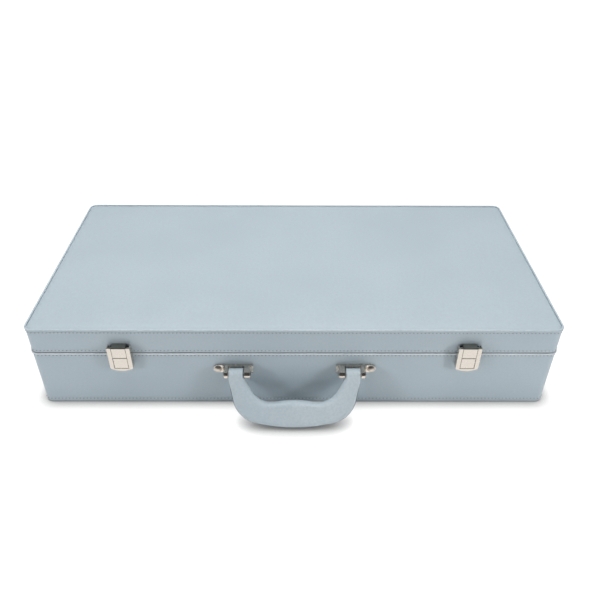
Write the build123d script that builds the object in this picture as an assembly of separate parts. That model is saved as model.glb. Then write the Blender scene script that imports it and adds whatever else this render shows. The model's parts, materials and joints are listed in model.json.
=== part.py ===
from build123d import *
from math import acos, asin, atan2, cos, degrees, hypot, radians, sin
import os

# A mahjong set case: a leatherette-covered wooden box with a padded lid, two snap latches,
# stop hinges and a drop handle. Millimetres. The origin is the middle of the bottom face,
# +X is to the right, -Y is the front with the handle, +Z is up. The lid is shut.

# Case body
case_width = 530.0
case_depth = 257.0
seam_height = 68.4
case_height = 98.5
corner_radius = 8.0
inner_corner_radius = 3.0
wall_thickness = 7.0
floor_thickness = 5.0
lid_panel_thickness = 4.0
cover_thickness = 1.0
bottom_edge_radius = 0.7
lining_thickness = 1.4
lining_flange_thickness = 0.8
rim_gap = 0.3
fit_clearance = 0.03

# Welts along the rim of the base and the top edge of the lid
rim_welt_height = 1.6
rim_welt_proud = 1.0
lid_welt_height = 1.6
lid_welt_proud = 0.8
welt_edge_radius = 0.6
welt_cut_clearance = 0.3

# Padded top of the lid
crown_height = 1.2
crown_shoulder_reach = 8.0
crown_shoulder_share = 0.4
crown_slope_reach = 34.0
crown_slope_share = 0.8
crown_reach = 84.0
pad_thickness = 3.2
crease_inset = 0.4
crease_width = 1.6
crease_edge_drop = 0.1
crease_depth = 0.9

# Compartments
rack_bay_depth = 90.0
divider_thickness = 5.0
divider_height = 44.0
tray_count = 4
tray_height = 50.0
tray_wall = 1.6
tray_clearance = 0.6
tray_corner_radius = 6.0
tray_draft_angle = 1.5
tray_notch_radius = 13.0
tray_lip_width = 2.0

# Stop hinges on the back
hinge_inset = 95.0
hinge_knuckle_length = 12.0
hinge_knuckle_count = 5
hinge_knuckle_gap = 0.3
hinge_leaf_thickness = 1.2
hinge_leaf_clearance = 8.2
hinge_leaf_corner = 3.0
hinge_axis_out = 3.2
hinge_barrel_radius = 2.7
hinge_pin_radius = 1.5
hinge_pin_head = 1.0
hinge_bore_clearance = 0.05
hinge_swing_clearance = 0.35
hinge_stop_thickness = 1.5
lid_open_angle = 105.0
hinge_screw_pitch = 22.0
hinge_screw_share = 0.65
screw_head_diameter = 6.0
screw_head_height = 1.6
screw_shank_diameter = 3.0
screw_length = 6.5

# Feet on the back, where the case stands when it is carried
foot_inset = 30.0
foot_diameter = 16.0
foot_height = 9.5
foot_shank_diameter = 4.0
foot_shank_length = 6.0
base_foot_height = 22.0
lid_foot_drop = 13.8

# Snap latches on the front
latch_inset = 91.5
latch_width = 23.0
latch_depth = 8.0
latch_sheet = 1.0
latch_back_gap = 1.5
latch_drop = 17.2
latch_bulge = 3.4
latch_corner_radius = 1.4
latch_edge_radius = 0.35
latch_bar_height = 3.4
latch_gap = 0.4
latch_panel_width = 13.8
latch_pin_radius = 1.0
latch_pin_out = 4.0
latch_pin_rise = 10.0
latch_pin_clearance = 0.06
latch_top_rise = 2.2
latch_barrel_radius = 2.3
latch_plate_thickness = 1.2
latch_plate_width = 18.0
latch_rivet_margin = 3.6
latch_catch_return = 4.0
latch_rivet_diameter = 2.4
latch_rivet_head = 4.4
latch_rivet_head_height = 0.9
latch_rivet_length = 7.0

# Handle and its brackets
handle_pin_out = 10.8
handle_pin_height = 49.1
handle_pin_radius = 2.0
handle_pin_head_radius = 3.0
handle_pin_head_height = 0.8
handle_pin_clearance = 0.08
handle_half_width = 66.0
handle_leg_width = 14.2
handle_shoulder_drop = 12.0
handle_shoulder_radius = 30.0
handle_corner_inset = 8.0
handle_corner_drop = 46.0
handle_corner_radius = 25.0
handle_keel_drop = 59.0
handle_keel_radius = 170.0
handle_crotch_drop = 6.5
handle_crotch_radius = 20.0
handle_dip_inset = 18.8
handle_dip_drop = 31.5
handle_dip_radius = 9.0
handle_palm_drop = 26.0
handle_palm_radius = 80.0
handle_thickness = 13.5
handle_edge_radius = 5.6
handle_floor_gap = 0.2
bush_radius = 3.4
bracket_slot_clearance = 0.9
bracket_height = 9.6
bracket_web_depth = 3.4
bracket_ear_reach = 3.9
bracket_outer_ear = 4.0
bracket_inner_ear = 6.0
bracket_inner_flange = 2.8
bracket_wing_radius = 4.6
bracket_wing_depth = 2.2
bracket_gusset_length = 2.4
bracket_gusset_depth = 7.2
bracket_edge_radius = 0.5
rivet_from_ear = 6.9
rivet_head_diameter = 8.2
rivet_head_height = 2.6
rivet_shank_diameter = 3.6
rivet_shank_length = 9.6

# Places that follow from the sizes above
front = -case_depth / 2
back = case_depth / 2
lid_bottom = seam_height + rim_gap
case_top = case_height + crown_height
wall_inset = cover_thickness
inside_inset = wall_inset + wall_thickness
bay_inset = inside_inset + lining_thickness
base_floor_top = cover_thickness + floor_thickness
bay_floor = base_floor_top + lining_thickness
panel_top = case_top - cover_thickness - pad_thickness
panel_bottom = panel_top - lid_panel_thickness
hinge_y = back + hinge_axis_out
hinge_length = hinge_knuckle_count * hinge_knuckle_length
latch_pin_y = front - latch_pin_out
latch_pin_z = lid_bottom + latch_pin_rise
latch_top = latch_pin_z + latch_top_rise
latch_bottom = seam_height - latch_drop
latch_window_bottom = latch_bottom + latch_bar_height
hinge_leaf_height = case_height - lid_welt_height - lid_bottom - hinge_leaf_clearance
handle_pin_y = front - handle_pin_out
handle_inner_half = handle_half_width - handle_leg_width
slot_outer = handle_half_width + bracket_slot_clearance
slot_inner = handle_inner_half - bracket_slot_clearance
outer_ear_side = slot_outer + bracket_outer_ear
inner_ear_side = slot_inner - bracket_inner_ear
rivet_place = outer_ear_side + rivet_from_ear
sides = {"left": -1, "right": 1}

# The handle hangs out from the case until its lower edge rests on the floor.
keel_slope = atan2(handle_keel_drop - handle_corner_drop, handle_half_width - handle_corner_inset)
handle_reach = handle_keel_drop - handle_keel_radius * (1 / cos(keel_slope) - 1)
handle_flat_reach = handle_reach - handle_edge_radius
handle_flat_half = handle_thickness / 2 - handle_edge_radius
handle_drop = handle_pin_height - handle_edge_radius - handle_floor_gap
handle_rest_angle = degrees(
    atan2(handle_flat_half, handle_flat_reach)
    + acos(handle_drop / hypot(handle_flat_reach, handle_flat_half))
)


def outline(inset):
    """The case's plan, drawn in by the inset."""
    radius = max(corner_radius - inset, inner_corner_radius)
    return RectangleRounded(case_width - 2 * inset, case_depth - 2 * inset, radius)


def slab(inset, bottom, top):
    return extrude(Plane.XY.offset(bottom) * outline(inset), top - bottom)


def ring(outer_inset, inner_inset, bottom, top):
    return slab(outer_inset, bottom, top) - slab(inner_inset, bottom, top)


def block(x, y, z):
    """A box between the two ends of each pair."""
    middle = [(low + high) / 2 for low, high in (x, y, z)]
    lengths = [abs(high - low) for low, high in (x, y, z)]
    return Pos(*middle) * Box(*lengths)


def rod_x(x, y, z, radius):
    """A round rod along X, between the two ends of x."""
    return Pos((x[0] + x[1]) / 2, y, z) * Rot(Y=90) * Cylinder(radius, abs(x[1] - x[0]))


def rod_y(x, y, z, radius):
    """A round rod along Y, between the two ends of y."""
    return Pos(x, (y[0] + y[1]) / 2, z) * Rot(X=90) * Cylinder(radius, abs(y[1] - y[0]))


def domed_stud(head_diameter, head_height, shank_diameter, shank_length):
    """A domed head that stands on Z = 0, with its shank below it."""
    head = head_diameter / 2
    shank = shank_diameter / 2
    dome = (head**2 + head_height**2) / (2 * head_height)
    middle_angle = asin(min(head / dome, 1.0)) / 2
    dome_middle = (dome * sin(middle_angle), head_height - dome + dome * cos(middle_angle))
    edges = Curve() + [
        Line((0, -shank_length), (shank, -shank_length)),
        Line((shank, -shank_length), (shank, 0)),
        Line((shank, 0), (head, 0)),
        ThreePointArc((head, 0), dome_middle, (0, head_height)),
        Line((0, head_height), (0, -shank_length)),
    ]
    return revolve(Plane.XZ * make_face(edges), Axis.Z)


def on_front(x, z, out, stud):
    return Pos(x, front - out, z) * Rot(X=90) * stud


def on_back(x, z, out, stud):
    return Pos(x, back + out, z) * Rot(X=-90) * stud


# Fasteners, with the holes that they need
hinge_screw = domed_stud(
    screw_head_diameter, screw_head_height, screw_shank_diameter, screw_length
)
latch_rivet = domed_stud(
    latch_rivet_head, latch_rivet_head_height, latch_rivet_diameter, latch_rivet_length
)
handle_rivet = domed_stud(
    rivet_head_diameter, rivet_head_height, rivet_shank_diameter, rivet_shank_length
)
foot = domed_stud(foot_diameter, foot_height, foot_shank_diameter, foot_shank_length)

hinge_places = [side * (case_width / 2 - hinge_inset) for side in sides.values()]
latch_places = [side * (case_width / 2 - latch_inset) for side in sides.values()]
screw_places = [x + step * hinge_screw_pitch for x in hinge_places for step in (-1, 0, 1)]
foot_places = [side * (case_width / 2 - foot_inset) for side in sides.values()]
rivet_places = [side * rivet_place for side in sides.values()]
screw_from_seam = hinge_screw_share * hinge_leaf_height
base_screw_height = seam_height - screw_from_seam
lid_screw_height = lid_bottom + screw_from_seam
catch_bottom = latch_window_bottom + latch_gap
catch_top = seam_height - rim_gap
base_plate_bottom = catch_bottom - latch_gap
base_rivet_heights = [catch_bottom + latch_rivet_margin, catch_top - latch_rivet_margin]
lid_rivet_height = (lid_bottom + latch_pin_z - latch_barrel_radius) / 2


def hole_y(x, y, z, shank_diameter):
    return rod_y(x, y, z, shank_diameter / 2 + fit_clearance)


def front_holes(bottom, top):
    """The holes through the front wall and its cover, at heights between bottom and top."""
    holes = []
    depth = (front - latch_depth, front + cover_thickness + wall_thickness)
    for x in latch_places:
        for z in base_rivet_heights + [lid_rivet_height]:
            if bottom < z < top:
                holes.append(hole_y(x, depth, z, latch_rivet_diameter))
    for x in rivet_places:
        if bottom < handle_pin_height < top:
            holes.append(hole_y(x, depth, handle_pin_height, rivet_shank_diameter))
    return holes


def back_holes(bottom, top):
    """The holes through the back wall and its cover, at heights between bottom and top."""
    holes = []
    depth = (back - cover_thickness - wall_thickness, back + hinge_axis_out)
    for z in (base_screw_height, lid_screw_height):
        if bottom < z < top:
            holes += [hole_y(x, depth, z, screw_shank_diameter) for x in screw_places]
    for z in (base_foot_height, case_height - lid_foot_drop):
        if bottom < z < top:
            holes += [hole_y(x, depth, z, foot_shank_diameter) for x in foot_places]
    return holes


# Base box
def base_frame():
    top = seam_height - lining_flange_thickness
    walls = ring(wall_inset, inside_inset, cover_thickness, top)
    return walls - front_holes(0, seam_height) - back_holes(0, seam_height)


def base_floor():
    return slab(inside_inset, cover_thickness, base_floor_top)


def base_side_cover():
    top = seam_height - rim_welt_height
    skin = ring(0, cover_thickness, cover_thickness, top)
    return skin - front_holes(0, seam_height) - back_holes(0, seam_height)


def base_bottom_cover():
    sheet = slab(0, 0, cover_thickness)
    return fillet(sheet.faces().sort_by(Axis.Z)[0].edges(), bottom_edge_radius)


def welt(proud, bottom, height):
    """A piped edge round the case, with rounded outer corners."""
    bead = slab(-proud, bottom, bottom + height)
    ends = bead.faces().sort_by(Axis.Z)
    bead = fillet(ends[0].edges() + ends[-1].edges(), welt_edge_radius)
    return bead - slab(cover_thickness, bottom, bottom + height)


def base_rim_welt():
    """The welt stops on both sides of each latch plate and hinge."""
    bead = welt(rim_welt_proud, seam_height - rim_welt_height, rim_welt_height)
    height = (seam_height - 2 * rim_welt_height, seam_height + rim_welt_height)
    for x in latch_places:
        half = latch_plate_width / 2 + welt_cut_clearance
        bead -= block((x - half, x + half), (front - latch_depth, front + cover_thickness), height)
    for x in hinge_places:
        half = hinge_length / 2 + hinge_pin_head + welt_cut_clearance
        bead -= block((x - half, x + half), (back - cover_thickness, hinge_y), height)
    return bead


def base_lining():
    """The lining of the walls and floor, turned out over the rim."""
    shell = slab(inside_inset, base_floor_top, seam_height)
    flange_bottom = seam_height - lining_flange_thickness
    flange = ring(cover_thickness, inside_inset, flange_bottom, seam_height)
    return shell + flange - slab(bay_inset, bay_floor, seam_height)


# Compartments
bay_half_width = case_width / 2 - bay_inset
bay_front = front + bay_inset
bay_back = back - bay_inset
divider_front = bay_front + rack_bay_depth
divider_back = divider_front + divider_thickness
tray_pitch = 2 * bay_half_width / tray_count
tray_width = tray_pitch - 2 * tray_clearance
tray_length = bay_back - divider_back - 2 * tray_clearance
tray_middle = (bay_back + divider_back) / 2


def tray_place(index):
    return (index - (tray_count - 1) / 2) * tray_pitch


def rack_divider():
    board = block(
        (-bay_half_width, bay_half_width),
        (divider_front, divider_back),
        (bay_floor, bay_floor + divider_height),
    )
    upper = board.faces().sort_by(Axis.Z)[-1].edges().filter_by(Axis.X)
    return fillet(upper, divider_thickness / 3)


def tile_tray(index):
    """A moulded tray with drawn-in walls, a turned-out lip and two finger notches."""
    rim = RectangleRounded(tray_width, tray_length, tray_corner_radius)
    body_outline = offset(rim, -tray_lip_width)
    well_outline = offset(rim, -tray_lip_width - tray_wall)
    rim_plane = Plane.XY.offset(tray_height)
    body = extrude(rim_plane * body_outline, -tray_height, taper=tray_draft_angle)
    lip = extrude(rim_plane * rim, -tray_wall)
    well = extrude(rim_plane * well_outline, tray_wall - tray_height, taper=tray_draft_angle)
    notch = rod_y(0, (-tray_length, tray_length), tray_height, tray_notch_radius)
    tray = body + lip - well - notch
    return Pos(tray_place(index), tray_middle, bay_floor) * tray


# Lid
def lid_frame():
    walls = ring(wall_inset, inside_inset, lid_bottom + lining_flange_thickness, panel_top)
    return walls - front_holes(seam_height, case_top) - back_holes(seam_height, case_top)


def lid_panel():
    return slab(inside_inset, panel_bottom, panel_top)


def lid_side_cover():
    skin = ring(0, cover_thickness, lid_bottom, case_height - lid_welt_height)
    return skin - front_holes(seam_height, case_top) - back_holes(seam_height, case_top)


def lid_edge_welt():
    return welt(lid_welt_proud, case_height - lid_welt_height, lid_welt_height)


def crowned(skin):
    """The padded top, with its crease inside the welt and its crown, less a skin all over."""
    crease = cover_thickness + crease_inset
    sections = [
        (cover_thickness, panel_top),
        (cover_thickness, case_height - lid_welt_height),
        (crease, case_height - crease_depth),
        (crease + crease_width, case_height - crease_edge_drop),
        (crease + crown_shoulder_reach, case_height + crown_shoulder_share * crown_height),
        (crease + crown_slope_reach, case_height + crown_slope_share * crown_height),
        (crease + crown_reach, case_top),
    ]
    faces = []
    for inset, height in sections:
        lower = 0 if height == panel_top else skin
        faces.append(Plane.XY.offset(height - lower) * outline(inset + skin))
    return loft(faces, ruled=True)


def lid_top_pad():
    return crowned(cover_thickness)


def lid_top_cover():
    return crowned(0) - crowned(cover_thickness)


def lid_lining():
    """The lining of the lid, turned out over its rim."""
    shell = slab(inside_inset, lid_bottom, panel_bottom)
    flange_top = lid_bottom + lining_flange_thickness
    flange = ring(cover_thickness, inside_inset, lid_bottom, flange_top)
    return shell + flange - slab(bay_inset, lid_bottom, panel_bottom - lining_thickness)


# Hinges
def knuckle_spans(x, own):
    """The ends along X of the base leaf's knuckles (own = 0) or the lid leaf's (own = 1)."""
    start = x - hinge_length / 2
    spans = []
    for index in range(own, hinge_knuckle_count, 2):
        low = start + index * hinge_knuckle_length + hinge_knuckle_gap / 2
        spans.append((low, low + hinge_knuckle_length - hinge_knuckle_gap))
    return spans


def hinge_leaf(x, own, rise):
    """A leaf that runs up (rise = 1) or down (rise = -1) from the barrel."""
    half = hinge_length / 2 - hinge_knuckle_gap / 2
    edge = seam_height + (rim_gap if rise > 0 else 0)
    far_edge = edge + rise * hinge_leaf_height
    leaf = block((x - half, x + half), (back, back + hinge_leaf_thickness), (edge, far_edge))
    corners = leaf.edges().filter_by(Axis.Y).group_by(Axis.Z)[-1 if rise > 0 else 0]
    leaf = fillet(corners, hinge_leaf_corner)
    for low, high in knuckle_spans(x, 1 - own):
        gap = hinge_knuckle_gap
        swing = hinge_barrel_radius + hinge_swing_clearance
        leaf -= rod_x((low - gap, high + gap), hinge_y, seam_height, swing)
    for span in knuckle_spans(x, own):
        leaf += rod_x(span, hinge_y, seam_height, hinge_barrel_radius)
        root = (seam_height, edge + rise * hinge_barrel_radius)
        leaf += block(span, (back, back + hinge_leaf_thickness), root)
    bore = hinge_pin_radius + hinge_bore_clearance
    leaf -= rod_x((x - hinge_length, x + hinge_length), hinge_y, seam_height, bore)
    return leaf


def screw_holes(z):
    depth = (back, back + hinge_leaf_thickness)
    return [hole_y(x, depth, z, screw_shank_diameter) for x in screw_places]


def hinge_base_leaf(side):
    x = sides[side] * (case_width / 2 - hinge_inset)
    return hinge_leaf(x, 0, -1) - screw_holes(base_screw_height)


# The stop's end meets the base leaf when the lid is fully open.
stop_reach = (
    hinge_axis_out - hinge_leaf_thickness - hinge_stop_thickness / 2 * sin(radians(lid_open_angle))
) / -cos(radians(lid_open_angle))


def hinge_lid_leaf(side):
    """The lid's leaf, with a stop on each of its knuckles."""
    x = sides[side] * (case_width / 2 - hinge_inset)
    leaf = hinge_leaf(x, 1, 1) - screw_holes(lid_screw_height)
    half = hinge_stop_thickness / 2
    for span in knuckle_spans(x, 1):
        near = hinge_y + (hinge_pin_radius + hinge_barrel_radius) / 2
        leaf += block(span, (near, hinge_y + stop_reach), (seam_height - half, seam_height + half))
    return leaf


def hinge_pin(side):
    x = sides[side] * (case_width / 2 - hinge_inset)
    half = hinge_length / 2
    pin = rod_x((x - half, x + half), hinge_y, seam_height, hinge_pin_radius)
    for end, way in ((x - half, -1), (x + half, 1)):
        pin += rod_x((end, end + way * hinge_pin_head), hinge_y, seam_height, hinge_barrel_radius)
    return pin


def hinge_screws(z):
    return [on_back(x, z, hinge_leaf_thickness, hinge_screw) for x in screw_places]


def rear_feet(z):
    return [on_back(x, z, 0, foot) for x in foot_places]


# Latches
def latch_frame(side):
    """The snap frame: a stamped pan with a window that is open at the top."""
    x = sides[side] * (case_width / 2 - latch_inset)
    half = latch_width / 2
    shoulder = latch_bottom + latch_bulge
    edges = Curve() + [
        Line((-half, latch_top), (-half, shoulder)),
        ThreePointArc((-half, shoulder), (0, latch_bottom), (half, shoulder)),
        Line((half, shoulder), (half, latch_top)),
        Line((half, latch_top), (-half, latch_top)),
    ]
    face = make_face(edges)
    lower_corners = face.vertices().group_by(Axis.Y)[0]
    face = fillet(lower_corners, latch_corner_radius)
    back_plane = Plane.XZ.offset(-front + latch_back_gap)
    pan = extrude(back_plane * face, latch_depth - latch_back_gap)
    front_face = pan.faces().sort_by(Axis.Y)[0]
    pan = fillet(front_face.edges(), latch_edge_radius)
    hollow_face = offset(face, -latch_sheet)
    hollow = extrude(back_plane * hollow_face, latch_depth - latch_back_gap - latch_sheet)
    pan -= hollow
    inner = half - latch_sheet
    hollow_depth = (front - latch_depth + latch_sheet, front - latch_back_gap)
    pan -= block((-inner, inner), hollow_depth, (latch_pin_z, latch_top + latch_sheet))
    window = latch_panel_width / 2 + latch_gap
    through = (front - 2 * latch_depth, front)
    pan -= block((-window, window), through, (latch_window_bottom, latch_top + latch_sheet))
    bore = latch_pin_radius + latch_pin_clearance
    pan -= rod_x((-latch_width, latch_width), latch_pin_y, latch_pin_z, bore)
    return Pos(X=x) * pan


def front_panel(bottom, top):
    """The flat front of a latch's inner block, flush with the snap frame."""
    half = latch_panel_width / 2
    panel = block((-half, half), (front - latch_depth, front - latch_depth + latch_sheet), (bottom, top))
    return fillet(panel.faces().sort_by(Axis.Y)[0].edges(), latch_edge_radius)


def latch_lid_block(side):
    """The lid's plate, whose sheet turns out along the seam, rises as the front panel and carries the barrel."""
    x = sides[side] * (case_width / 2 - latch_inset)
    half = latch_panel_width / 2
    width = (-half, half)
    plate_depth = (front - latch_plate_thickness, front)
    body = block(width, plate_depth, (lid_bottom, latch_pin_z + latch_barrel_radius))
    shelf_depth = (front - latch_depth + latch_sheet, front)
    body += block(width, shelf_depth, (lid_bottom, lid_bottom + latch_sheet))
    body += front_panel(lid_bottom, latch_top)
    body += rod_x(width, latch_pin_y, latch_pin_z, latch_barrel_radius)
    web = (latch_pin_z - latch_pin_radius, latch_pin_z + latch_pin_radius)
    body += block(width, (latch_pin_y, front), web)
    body -= rod_x(width, latch_pin_y, latch_pin_z, latch_pin_radius + fit_clearance)
    body -= hole_y(0, plate_depth, lid_rivet_height, latch_rivet_diameter)
    return Pos(X=x) * body


def latch_pin(side):
    x = sides[side] * (case_width / 2 - latch_inset)
    half = latch_width / 2
    return rod_x((x - half, x + half), latch_pin_y, latch_pin_z, latch_pin_radius)


def latch_base_plate(side):
    x = sides[side] * (case_width / 2 - latch_inset)
    half = latch_plate_width / 2
    plate_depth = (front - latch_plate_thickness, front)
    plate = block((-half, half), plate_depth, (base_plate_bottom, catch_top))
    lower = plate.edges().filter_by(Axis.Y).group_by(Axis.Z)[0]
    plate = fillet(lower, latch_corner_radius)
    plate -= [hole_y(0, plate_depth, z, latch_rivet_diameter) for z in base_rivet_heights]
    return Pos(X=x) * plate


def latch_catch(side):
    """The spring catch: it hangs from its upper turn, and its lower turn holds the snap frame."""
    x = sides[side] * (case_width / 2 - latch_inset)
    half = latch_panel_width / 2
    inner_face = front - latch_depth + latch_sheet
    catch = front_panel(catch_bottom, catch_top)
    turn_depth = (inner_face, front - latch_plate_thickness)
    catch += block((-half, half), turn_depth, (catch_top - latch_sheet, catch_top))
    return_depth = (inner_face, inner_face + latch_catch_return)
    catch += block((-half, half), return_depth, (catch_bottom, catch_bottom + latch_sheet))
    return Pos(X=x) * catch


def latch_rivets(heights):
    out = latch_plate_thickness
    return [on_front(x, z, out, latch_rivet) for x in latch_places for z in heights]


# Handle
def softened(ear):
    """Rounds the edges of an ear's two sides."""
    ends = ear.faces().sort_by(Axis.X)
    return fillet(ends[0].edges() + ends[-1].edges(), bracket_edge_radius)


def handle_bracket(side):
    """A cast clevis with two ears, and an outer wing that tapers to the rivet."""
    web_face = front - bracket_web_depth
    half_height = bracket_height / 2
    height = (handle_pin_height - half_height, handle_pin_height + half_height)
    cheek = Plane.YZ * make_hull(
        [
            (Pos(handle_pin_y, handle_pin_height) * Circle(bracket_ear_reach)).edge(),
            *(Pos((front + web_face) / 2, handle_pin_height) * Rectangle(bracket_web_depth, bracket_height)).edges(),
        ]
    )
    outer_ear = Pos(X=slot_outer) * softened(extrude(cheek, bracket_outer_ear))
    inner_ear = Pos(X=inner_ear_side) * softened(extrude(cheek, bracket_inner_ear))
    web_ends = (inner_ear_side - bracket_inner_flange, outer_ear_side)
    web = block(web_ends, (web_face, front), height)
    wing_plan = Plane.XZ.offset(-front) * make_hull(
        [
            (Pos(rivet_place, handle_pin_height) * Circle(bracket_wing_radius)).edge(),
            *(Pos(outer_ear_side - 1, handle_pin_height) * Rectangle(2, bracket_height)).edges(),
        ]
    )
    wing = extrude(wing_plan, bracket_wing_depth)
    gusset_plan = Polyline(
        (outer_ear_side, front - bracket_wing_depth),
        (outer_ear_side + bracket_gusset_length, front - bracket_wing_depth),
        (outer_ear_side, front - bracket_gusset_depth),
        close=True,
    )
    gusset = extrude(Plane.XY.offset(height[0]) * make_face(gusset_plan), bracket_height)
    body = outer_ear + inner_ear + web + wing + gusset
    body -= rod_x(
        (0, 2 * handle_half_width), handle_pin_y, handle_pin_height, handle_pin_radius + fit_clearance
    )
    body -= hole_y(rivet_place, (front - latch_depth, front), handle_pin_height, rivet_shank_diameter)
    return body if sides[side] > 0 else mirror(body, Plane.YZ)


def handle_pin(side):
    """The rivet pin through both ears, with a flat head outside each."""
    ends = (inner_ear_side, outer_ear_side)
    pin = rod_x(ends, handle_pin_y, handle_pin_height, handle_pin_radius)
    for end, way in zip(ends, (-1, 1)):
        head = (end, end + way * handle_pin_head_height)
        pin += rod_x(head, handle_pin_y, handle_pin_height, handle_pin_head_radius)
    return pin if sides[side] > 0 else mirror(pin, Plane.YZ)


def hung(part):
    """Moves a piece of the handle, drawn about its pin line and hanging down, to its place at rest."""
    return Pos(0, handle_pin_y, handle_pin_height) * Rot(X=-handle_rest_angle) * part


def handle_outline():
    """The handle's plan: straight legs that sweep into a deep grip, with a rise for the palm."""
    outer = handle_half_width
    corner = outer - handle_corner_inset
    inner = handle_inner_half
    dip = inner - handle_dip_inset
    eye = handle_thickness / 2
    outer_edge = FilletPolyline(
        (outer, eye),
        (outer, -handle_shoulder_drop),
        (corner, -handle_corner_drop),
        (0, -handle_keel_drop),
        (-corner, -handle_corner_drop),
        (-outer, -handle_shoulder_drop),
        (-outer, eye),
        radius=[
            handle_shoulder_radius,
            handle_corner_radius,
            handle_keel_radius,
            handle_corner_radius,
            handle_shoulder_radius,
        ],
    )
    inner_edge = FilletPolyline(
        (-inner, eye),
        (-inner, -handle_crotch_drop),
        (-dip, -handle_dip_drop),
        (0, -handle_palm_drop),
        (dip, -handle_dip_drop),
        (inner, -handle_crotch_drop),
        (inner, eye),
        radius=[
            handle_crotch_radius,
            handle_dip_radius,
            handle_palm_radius,
            handle_dip_radius,
            handle_crotch_radius,
        ],
    )
    legs = [Line((side * outer, eye), (side * inner, eye)) for side in sides.values()]
    edges = Curve() + [outer_edge, inner_edge, *legs]
    return make_face(edges)


def handle_grip():
    """The moulded grip, with a rounded eye at the top of each leg."""
    half = handle_thickness / 2
    grip = extrude(Plane.XZ * handle_outline(), half, both=True)
    top = grip.faces().sort_by(Axis.Z)[-1].center().Z
    long_edges = [
        edge
        for face in (grip.faces().sort_by(Axis.Y)[0], grip.faces().sort_by(Axis.Y)[-1])
        for edge in face.edges()
        if edge.bounding_box().min.Z < top - handle_thickness / 4
    ]
    grip = fillet(long_edges, handle_edge_radius)
    across = (-case_width / 2, case_width / 2)
    kept = rod_x(across, 0, 0, half) + block(across, (-half, half), (-2 * handle_reach, 0))
    grip = grip & kept
    bore = bush_radius + fit_clearance
    grip -= rod_x(across, 0, 0, bore)
    return hung(grip)


def handle_bush(side):
    """The sleeve in the eye of one leg."""
    ends = sorted((sides[side] * handle_inner_half, sides[side] * handle_half_width))
    sleeve = rod_x(ends, 0, 0, bush_radius)
    sleeve -= rod_x(ends, 0, 0, handle_pin_radius + handle_pin_clearance)
    return hung(sleeve)


nodes = {
    "base_frame": base_frame(),
    "base_floor": base_floor(),
    "base_side_cover": base_side_cover(),
    "base_bottom_cover": base_bottom_cover(),
    "base_rim_welt": base_rim_welt(),
    "base_lining": base_lining(),
    "rack_divider": rack_divider(),
    "base_rear_feet": rear_feet(base_foot_height),
    "base_hinge_screws": hinge_screws(base_screw_height),
    "base_latch_rivets": latch_rivets(base_rivet_heights),
    "handle_rivets": [
        on_front(x, handle_pin_height, bracket_wing_depth, handle_rivet) for x in rivet_places
    ],
    "lid_frame": lid_frame(),
    "lid_panel": lid_panel(),
    "lid_side_cover": lid_side_cover(),
    "lid_edge_welt": lid_edge_welt(),
    "lid_top_pad": lid_top_pad(),
    "lid_top_cover": lid_top_cover(),
    "lid_lining": lid_lining(),
    "lid_hinge_screws": hinge_screws(lid_screw_height),
    "lid_latch_rivets": latch_rivets([lid_rivet_height]),
    "lid_rear_feet": rear_feet(case_height - lid_foot_drop),
    "handle_grip": handle_grip(),
}
for index in range(tray_count):
    nodes[f"tile_tray_{index + 1}"] = tile_tray(index)
for side in sides:
    nodes[f"hinge_base_leaf_{side}"] = hinge_base_leaf(side)
    nodes[f"hinge_lid_leaf_{side}"] = hinge_lid_leaf(side)
    nodes[f"hinge_pin_{side}"] = hinge_pin(side)
    nodes[f"latch_frame_{side}"] = latch_frame(side)
    nodes[f"latch_lid_block_{side}"] = latch_lid_block(side)
    nodes[f"latch_pin_{side}"] = latch_pin(side)
    nodes[f"latch_base_plate_{side}"] = latch_base_plate(side)
    nodes[f"latch_catch_{side}"] = latch_catch(side)
    nodes[f"handle_bracket_{side}"] = handle_bracket(side)
    nodes[f"handle_pin_{side}"] = handle_pin(side)
    nodes[f"handle_bush_{side}"] = handle_bush(side)

os.makedirs("parts", exist_ok=True)
for name, shape in nodes.items():
    solids = shape.solids() if hasattr(shape, "solids") else [s for one in shape for s in one.solids()]
    export_step(solids[0] if len(solids) == 1 else Compound(solids), f"parts/{name}.step")
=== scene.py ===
import json
import math

import bmesh
import bpy
from mathutils import Matrix, Vector


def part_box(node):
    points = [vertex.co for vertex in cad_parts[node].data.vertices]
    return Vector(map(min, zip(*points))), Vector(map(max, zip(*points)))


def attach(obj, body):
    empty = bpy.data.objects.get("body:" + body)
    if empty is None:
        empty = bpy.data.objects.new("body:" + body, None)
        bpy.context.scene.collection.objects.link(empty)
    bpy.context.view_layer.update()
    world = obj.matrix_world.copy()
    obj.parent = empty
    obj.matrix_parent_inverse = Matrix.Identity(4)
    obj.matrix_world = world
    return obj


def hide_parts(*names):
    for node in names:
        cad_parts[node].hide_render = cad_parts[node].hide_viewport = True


# A mahjong set case in pale blue-grey leatherette, seen from the front and above. Lengths are
# in metres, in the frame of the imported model: the origin is the middle of the bottom face.

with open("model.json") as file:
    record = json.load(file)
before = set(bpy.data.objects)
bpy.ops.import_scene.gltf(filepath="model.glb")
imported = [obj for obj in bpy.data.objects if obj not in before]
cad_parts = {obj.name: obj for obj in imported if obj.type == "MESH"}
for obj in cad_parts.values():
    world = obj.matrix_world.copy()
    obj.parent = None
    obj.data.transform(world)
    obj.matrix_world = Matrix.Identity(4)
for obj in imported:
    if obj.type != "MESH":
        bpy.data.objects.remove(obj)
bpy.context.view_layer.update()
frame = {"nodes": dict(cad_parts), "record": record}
nodes = frame["nodes"]
mm = 0.001

# Camera, fitted to the edges of the case in the photograph, with angles in degrees
camera_place = (1.61 * mm, -601.4 * mm, 484.1 * mm)
camera_tilt_down = 36.4568
camera_turn = -0.419
camera_roll = 0.334
focal_pixels = 625.28
photo_pixels = 600
sensor_width = 36.0

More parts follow.
